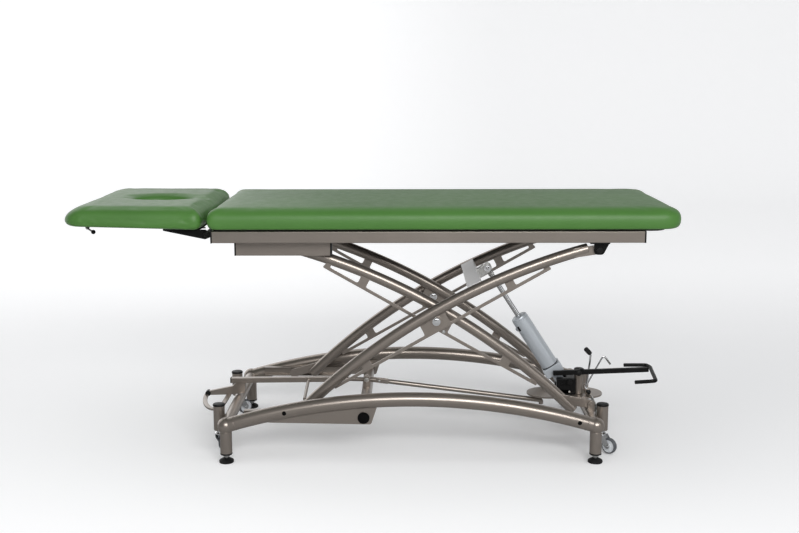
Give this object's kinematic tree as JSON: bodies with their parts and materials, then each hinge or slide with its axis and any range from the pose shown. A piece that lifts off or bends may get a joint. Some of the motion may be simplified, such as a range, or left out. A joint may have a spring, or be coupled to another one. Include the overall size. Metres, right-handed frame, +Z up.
{
  "type": "treatment table",
  "caption": "Padded treatment table with a face opening in its tilting headrest, on a hydraulic scissor lift over an arched floor frame with levelling feet and castors.",
  "frame": {"origin": "centre of the floor area under the whole table, on the floor plane", "axes": "+X towards the foot end, +Y towards the far long side, +Z up"},
  "size_m": [2.0163, 0.6756, 0.8616],
  "materials": {
    "frame_paint": "satin metallic paint",
    "black_plastic": "matte",
    "bright_steel": "polished",
    "grey_tyre": "matte",
    "board": "painted",
    "upholstery": "smooth synthetic leather"
  },
  "bodies": {
    "base": {"base_side_near": "frame_paint", "base_side_far": "frame_paint", "end_tube_head": "frame_paint", "end_tube_foot": "frame_paint", "castor_post_head_near": "frame_paint", "castor_post_head_far": "frame_paint", "castor_post_foot_near": "frame_paint", "castor_post_foot_far": "frame_paint", "track_plate_near": "frame_paint", "track_plate_far": "frame_paint", "roller_track_near": "frame_paint", "roller_track_far": "frame_paint", "base_cross_tube": "frame_paint", "pump_tray": "frame_paint", "pump_body": "black_plastic"},
    "inner_arms": {"arm_inner_near": "frame_paint", "arm_inner_far": "frame_paint"},
    "outer_arms": {"arm_outer_near": "frame_paint", "arm_outer_far": "frame_paint", "outer_cross_member": "frame_paint", "pivot_bolt_near": "bright_steel", "pivot_bolt_far": "bright_steel"},
    "bed": {"bed_rail_near": "frame_paint", "bed_rail_far": "frame_paint", "bed_bar_head": "frame_paint", "bed_bar_mid": "frame_paint", "bed_bar_foot": "frame_paint", "upper_track_near": "frame_paint", "upper_track_far": "frame_paint", "bed_board": "board", "main_pad": "upholstery"},
    "headrest": {"headrest_frame": "black_plastic", "headrest_board": "board", "headrest_pad": "upholstery"},
    "lift_cylinder_body": {"lift_cylinder": "bright_steel"},
    "piston_rod_body": {"piston_rod": "bright_steel"},
    "pump_pedal_body": {"pump_pedal": "black_plastic"},
    "release_lever_body": {"release_lever": "bright_steel"},
    "foot_lever_body": {"foot_lever": "frame_paint"},
    "push_rod_body": {"push_rod": "frame_paint"},
    "headrest_lever_body": {"headrest_lever": "black_plastic"},
    "headrest_rod_body": {"headrest_release_rod": "bright_steel"},
    "foot_head_near": {"levelling_foot_head_near": "black_plastic"},
    "fork_head_near": {"castor_fork_head_near": "bright_steel"},
    "wheel_head_near": {"castor_wheel_head_near": "grey_tyre"},
    "foot_head_far": {"levelling_foot_head_far": "black_plastic"},
    "fork_head_far": {"castor_fork_head_far": "bright_steel"},
    "wheel_head_far": {"castor_wheel_head_far": "grey_tyre"},
    "foot_foot_near": {"levelling_foot_foot_near": "black_plastic"},
    "fork_foot_near": {"castor_fork_foot_near": "bright_steel"},
    "wheel_foot_near": {"castor_wheel_foot_near": "grey_tyre"},
    "foot_foot_far": {"levelling_foot_foot_far": "black_plastic"},
    "fork_foot_far": {"castor_fork_foot_far": "bright_steel"},
    "wheel_foot_far": {"castor_wheel_foot_far": "grey_tyre"},
    "lower_roller_near": {"roller_lower_near": "black_plastic"},
    "upper_roller_near": {"roller_upper_near": "black_plastic"},
    "lower_roller_far": {"roller_lower_far": "black_plastic"},
    "upper_roller_far": {"roller_upper_far": "black_plastic"}
  },
  "joints": [
    {"name": "lift", "type": "hinge", "parent": "base", "child": "inner_arms", "pos_m": [0.744, 0, 0.165], "axis": [0, 1, 0], "range_deg": [-14, 6]},
    {"name": "scissor", "type": "hinge", "parent": "inner_arms", "child": "outer_arms", "pos_m": [0.2125, 0, 0.4645], "axis": [0, 1, 0], "range_deg": [-12, 28]},
    {"name": "bed_level", "type": "hinge", "parent": "outer_arms", "child": "bed", "pos_m": [0.744, 0, 0.7125], "axis": [0, 1, 0], "range_deg": [-14, 6]},
    {"name": "headrest_tilt", "type": "hinge", "parent": "bed", "child": "headrest", "pos_m": [-0.5435, 0, 0.7665], "axis": [0, 1, 0], "range_deg": [-30, 15]},
    {"name": "cylinder_swing", "type": "hinge", "parent": "base", "child": "lift_cylinder_body", "pos_m": [0.668, 0, 0.19], "axis": [0, 1, 0], "range_deg": [-17, 7.3]},
    {"name": "piston_slide", "type": "slide", "parent": "lift_cylinder_body", "child": "piston_rod_body", "axis": [-0.544, 0, 0.8391], "range_m": [-0.1225, 0.0526]},
    {"name": "pump_pedal_press", "type": "hinge", "parent": "base", "child": "pump_pedal_body", "pos_m": [0.722, -0.047, 0.238], "axis": [0, 1, 0], "range_deg": [0, 20], "stiffness_Nm_per_rad": 15, "springref_deg": -17.19},
    {"name": "release_lever_press", "type": "hinge", "parent": "base", "child": "release_lever_body", "pos_m": [0.76, 0, 0.1644], "axis": [0, 1, 0], "range_deg": [0, 15], "stiffness_Nm_per_rad": 2, "springref_deg": -11.46},
    {"name": "foot_lever_lift", "type": "hinge", "parent": "base", "child": "foot_lever_body", "pos_m": [-0.031, 0, 0.2017], "axis": [0, 1, 0], "range_deg": [0, 5], "stiffness_Nm_per_rad": 20, "springref_deg": -9.74},
    {"name": "push_rod_swing", "type": "hinge", "parent": "foot_lever_body", "child": "push_rod_body", "pos_m": [0.014, 0, 0.196], "axis": [0, 1, 0], "range_deg": [-5.4, 0]},
    {"name": "headrest_lever_pull", "type": "hinge", "parent": "headrest", "child": "headrest_lever_body", "pos_m": [-0.95483, -0.2, 0.77827], "axis": [0, 1, 0], "range_deg": [0, 25.3]},
    {"name": "headrest_rod_slide", "type": "slide", "parent": "headrest", "child": "headrest_rod_body", "axis": [0.9997, 0, -0.0262], "range_m": [0, 0.0022], "stiffness_N_per_m": 400, "springref_m": -0.002},
    {"name": "levelling_head_near", "type": "slide", "parent": "base", "child": "foot_head_near", "axis": [0, 0, -1], "range_m": [0, 0.015]},
    {"name": "swivel_head_near", "type": "hinge", "parent": "base", "child": "fork_head_near", "pos_m": [-0.52994, -0.209, 0.072], "axis": [0, 0, 1], "continuous": true},
    {"name": "roll_head_near", "type": "hinge", "parent": "fork_head_near", "child": "wheel_head_near", "pos_m": [-0.5237, -0.17966, 0.0295], "axis": [-0.9781, 0.2079, 0], "continuous": true},
    {"name": "levelling_head_far", "type": "slide", "parent": "base", "child": "foot_head_far", "axis": [0, 0, -1], "range_m": [0, 0.015]},
    {"name": "swivel_head_far", "type": "hinge", "parent": "base", "child": "fork_head_far", "pos_m": [-0.52994, 0.209, 0.072], "axis": [0, 0, 1], "continuous": true},
    {"name": "roll_head_far", "type": "hinge", "parent": "fork_head_far", "child": "wheel_head_far", "pos_m": [-0.50629, 0.22747, 0.0295], "axis": [-0.6157, 0.788, 0], "continuous": true},
    {"name": "levelling_foot_near", "type": "slide", "parent": "base", "child": "foot_foot_near", "axis": [0, 0, -1], "range_m": [0, 0.015]},
    {"name": "swivel_foot_near", "type": "hinge", "parent": "base", "child": "fork_foot_near", "pos_m": [0.78194, -0.209, 0.072], "axis": [0, 0, 1], "continuous": true},
    {"name": "roll_foot_near", "type": "hinge", "parent": "fork_foot_near", "child": "wheel_foot_near", "pos_m": [0.80423, -0.22907, 0.0295], "axis": [0.6691, 0.7431, 0], "continuous": true},
    {"name": "levelling_foot_far", "type": "slide", "parent": "base", "child": "foot_foot_far", "axis": [0, 0, -1], "range_m": [0, 0.015]},
    {"name": "swivel_foot_far", "type": "hinge", "parent": "base", "child": "fork_foot_far", "pos_m": [0.78194, 0.209, 0.072], "axis": [0, 0, 1], "continuous": true},
    {"name": "roll_foot_far", "type": "hinge", "parent": "fork_foot_far", "child": "wheel_foot_far", "pos_m": [0.80934, 0.2212, 0.0295], "axis": [-0.4067, 0.9135, 0], "continuous": true},
    {"name": "lower_roll_near", "type": "hinge", "parent": "outer_arms", "child": "lower_roller_near", "pos_m": [-0.319, -0.2753, 0.155], "axis": [0, 1, 0], "continuous": true},
    {"name": "upper_roll_near", "type": "hinge", "parent": "inner_arms", "child": "upper_roller_near", "pos_m": [-0.319, -0.2202, 0.7125], "axis": [0, 1, 0], "continuous": true},
    {"name": "lower_roll_far", "type": "hinge", "parent": "outer_arms", "child": "lower_roller_far", "pos_m": [-0.319, 0.2753, 0.155], "axis": [0, 1, 0], "continuous": true},
    {"name": "upper_roll_far", "type": "hinge", "parent": "inner_arms", "child": "upper_roller_far", "pos_m": [-0.319, 0.2202, 0.7125], "axis": [0, 1, 0], "continuous": true}
  ],
  "couplings": [
    {"joint": "scissor", "follows": "lift", "ratio": -2},
    {"joint": "bed_level", "follows": "lift", "ratio": 1},
    {"joint": "cylinder_swing", "follows": "lift", "ratio": 1.21},
    {"joint": "piston_slide", "follows": "lift", "m_per_rad": 0.5},
    {"joint": "push_rod_swing", "follows": "foot_lever_lift", "ratio": -1.0765},
    {"joint": "headrest_lever_pull", "follows": "headrest_rod_slide", "rad_per_m": 200}
  ]
}
